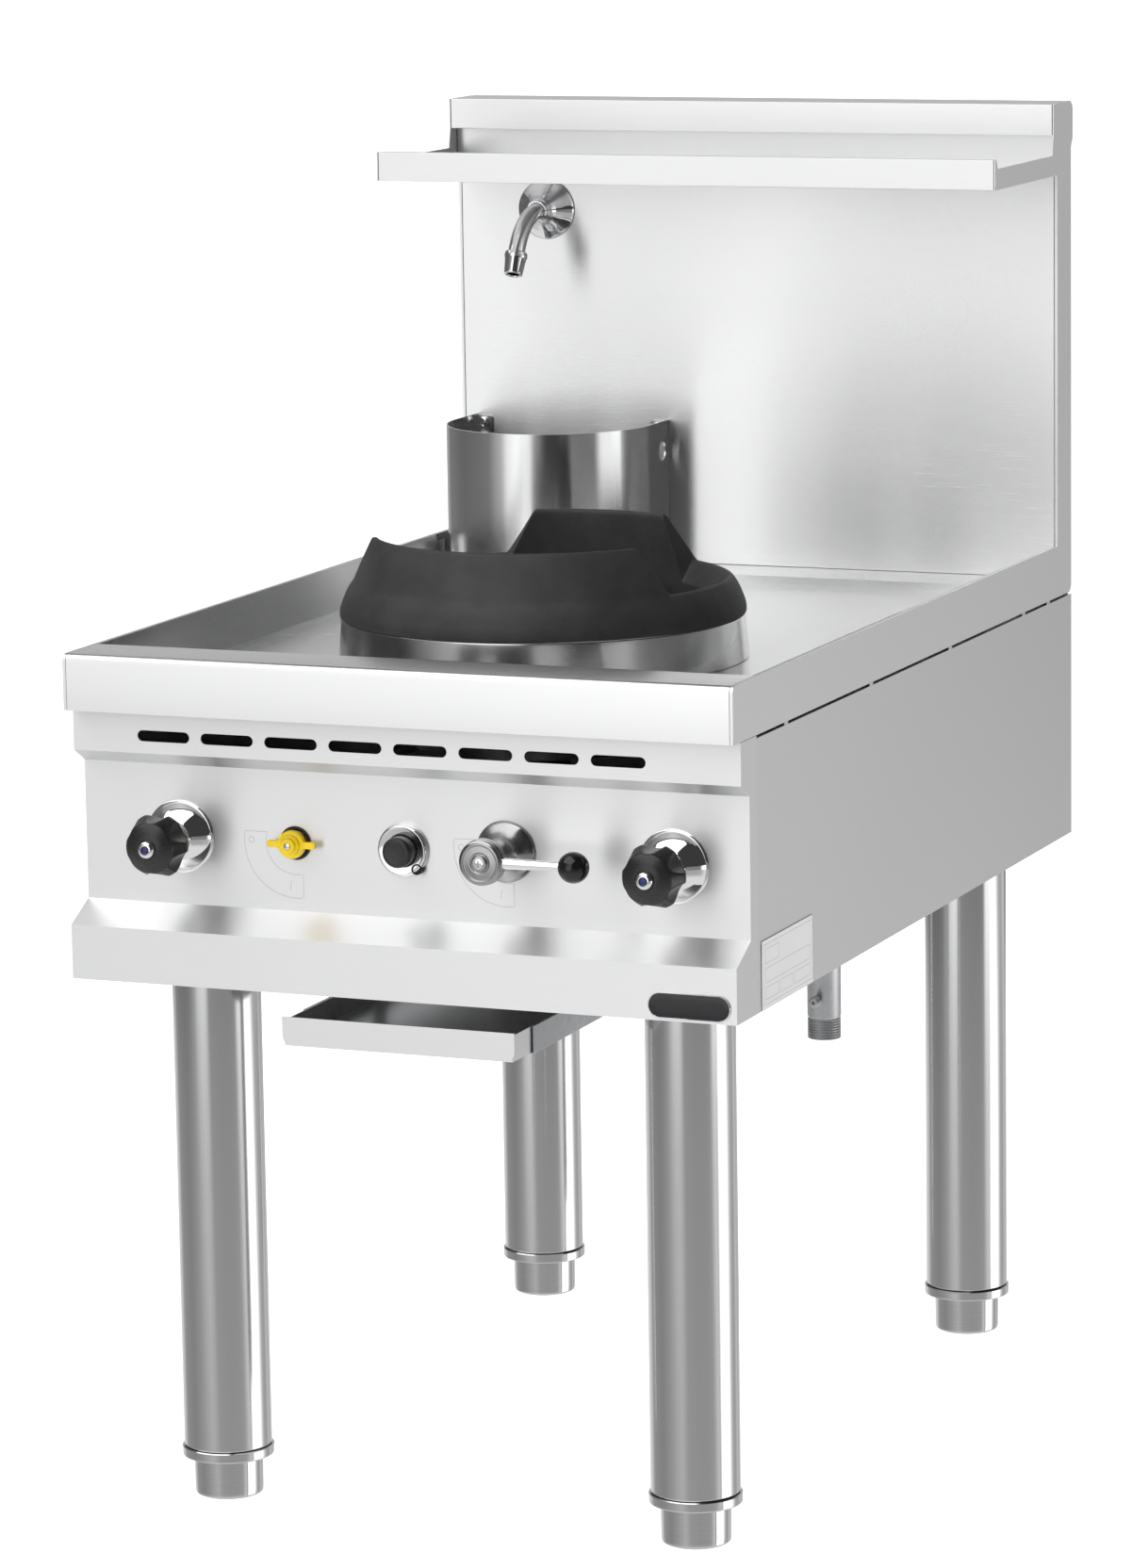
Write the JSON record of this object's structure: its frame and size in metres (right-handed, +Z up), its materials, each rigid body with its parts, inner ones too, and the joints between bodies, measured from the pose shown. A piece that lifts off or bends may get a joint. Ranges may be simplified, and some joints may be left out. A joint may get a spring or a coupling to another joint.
{
  "type": "wok range",
  "caption": "Free-standing gas wok range: worktop trough with burner and cast ring, splashback with shelf and tap, fascia controls, drip tray, levelling legs.",
  "frame": {"origin": "on the floor, below the middle of the whole range's box", "axes": "+Z up, +X to the right seen from the front, -Y towards the person who cooks"},
  "size_m": [0.6036, 0.9344, 1.16],
  "materials": {
    "brushed_stainless": "satin",
    "polished_stainless": "polished",
    "chrome": "polished",
    "cast_iron": "matte",
    "black_plastic": "gloss",
    "yellow_plastic": "satin",
    "blue_plastic": "gloss",
    "brass": "satin",
    "galvanised_steel": "matte",
    "blank_plate": "matte",
    "badge_black": "gloss"
  },
  "bodies": {
    "range": {"worktop_tray": "brushed_stainless", "splash_panel": "brushed_stainless", "rear_panel": "brushed_stainless", "top_band": "brushed_stainless", "shelf": "brushed_stainless", "control_fascia": "brushed_stainless", "base_pan": "galvanised_steel", "side_plate_left": "brushed_stainless", "side_plate_right": "brushed_stainless", "shelf_end_left": "brushed_stainless", "shelf_end_right": "brushed_stainless", "body_side_left": "brushed_stainless", "body_side_right": "brushed_stainless", "tray_rail_left": "galvanised_steel", "tray_rail_right": "galvanised_steel", "leg_front_left": "brushed_stainless", "leg_front_right": "brushed_stainless", "leg_rear_left": "brushed_stainless", "leg_rear_right": "brushed_stainless", "burner_collar": "brushed_stainless", "burner_bowl": "galvanised_steel", "burner_head": "cast_iron", "mixing_tube": "cast_iron", "injector_pipe": "brass", "gas_manifold": "galvanised_steel", "gas_inlet_pipe": "galvanised_steel", "test_nipple": "brass", "main_gas_valve": "brass", "pilot_tap_body": "brass", "pilot_burner": "brass", "water_bell_left": "chrome", "water_bell_right": "chrome", "water_valve_left": "brass", "water_valve_right": "brass", "lever_flange": "chrome", "igniter_bezel": "chrome", "water_manifold": "galvanised_steel", "riser_pipe": "galvanised_steel", "tap_escutcheon": "chrome", "tap_spout": "chrome", "tap_nozzle": "chrome", "drain_guard": "polished_stainless", "waste_pipe": "galvanised_steel", "badge_plate": "badge_black", "rating_plate": "blank_plate"},
    "left_knob": {"water_knob_left": "black_plastic", "knob_cap_left": "blue_plastic"},
    "right_knob": {"water_knob_right": "black_plastic", "knob_cap_right": "blue_plastic"},
    "gas_lever": {"lever_hub": "chrome", "lever_rod": "chrome", "lever_ball": "black_plastic"},
    "pilot_handle": {"pilot_tap_handle": "yellow_plastic"},
    "igniter": {"igniter_button": "black_plastic"},
    "ring": {"wok_ring": "cast_iron"},
    "tray": {"drip_tray": "brushed_stainless"},
    "front_left_foot": {"foot_front_left": "polished_stainless"},
    "front_right_foot": {"foot_front_right": "polished_stainless"},
    "rear_left_foot": {"foot_rear_left": "polished_stainless"},
    "rear_right_foot": {"foot_rear_right": "polished_stainless"}
  },
  "joints": [
    {"name": "left_knob_turn", "type": "hinge", "parent": "range", "child": "left_knob", "pos_m": [-0.211, -0.39725, 0.5935], "axis": [0, -1, 0], "range_deg": [0, 360]},
    {"name": "right_knob_turn", "type": "hinge", "parent": "range", "child": "right_knob", "pos_m": [0.234, -0.39725, 0.5935], "axis": [0, -1, 0], "range_deg": [0, 360]},
    {"name": "gas_lever_turn", "type": "hinge", "parent": "range", "child": "gas_lever", "pos_m": [0.086, -0.39725, 0.5975], "axis": [0, -1, 0], "range_deg": [0, 90]},
    {"name": "pilot_handle_turn", "type": "hinge", "parent": "range", "child": "pilot_handle", "pos_m": [-0.105, -0.39725, 0.5935], "axis": [0, -1, 0], "range_deg": [0, 90]},
    {"name": "igniter_push", "type": "slide", "parent": "range", "child": "igniter", "axis": [0, 1, 0], "range_m": [0, 0.004], "stiffness_N_per_m": 600, "springref_m": -0.004},
    {"name": "ring_lift", "type": "slide", "parent": "range", "child": "ring", "axis": [0, 0, 1], "range_m": [0, 0.15]},
    {"name": "tray_slide", "type": "slide", "parent": "range", "child": "tray", "axis": [0, -1, 0], "range_m": [0, 0.42]},
    {"name": "front_left_foot_screw", "type": "slide", "parent": "range", "child": "front_left_foot", "axis": [0, 0, -1], "range_m": [0, 0.025]},
    {"name": "front_right_foot_screw", "type": "slide", "parent": "range", "child": "front_right_foot", "axis": [0, 0, -1], "range_m": [0, 0.025]},
    {"name": "rear_left_foot_screw", "type": "slide", "parent": "range", "child": "rear_left_foot", "axis": [0, 0, -1], "range_m": [0, 0.025]},
    {"name": "rear_right_foot_screw", "type": "slide", "parent": "range", "child": "rear_right_foot", "axis": [0, 0, -1], "range_m": [0, 0.025]}
  ]
}
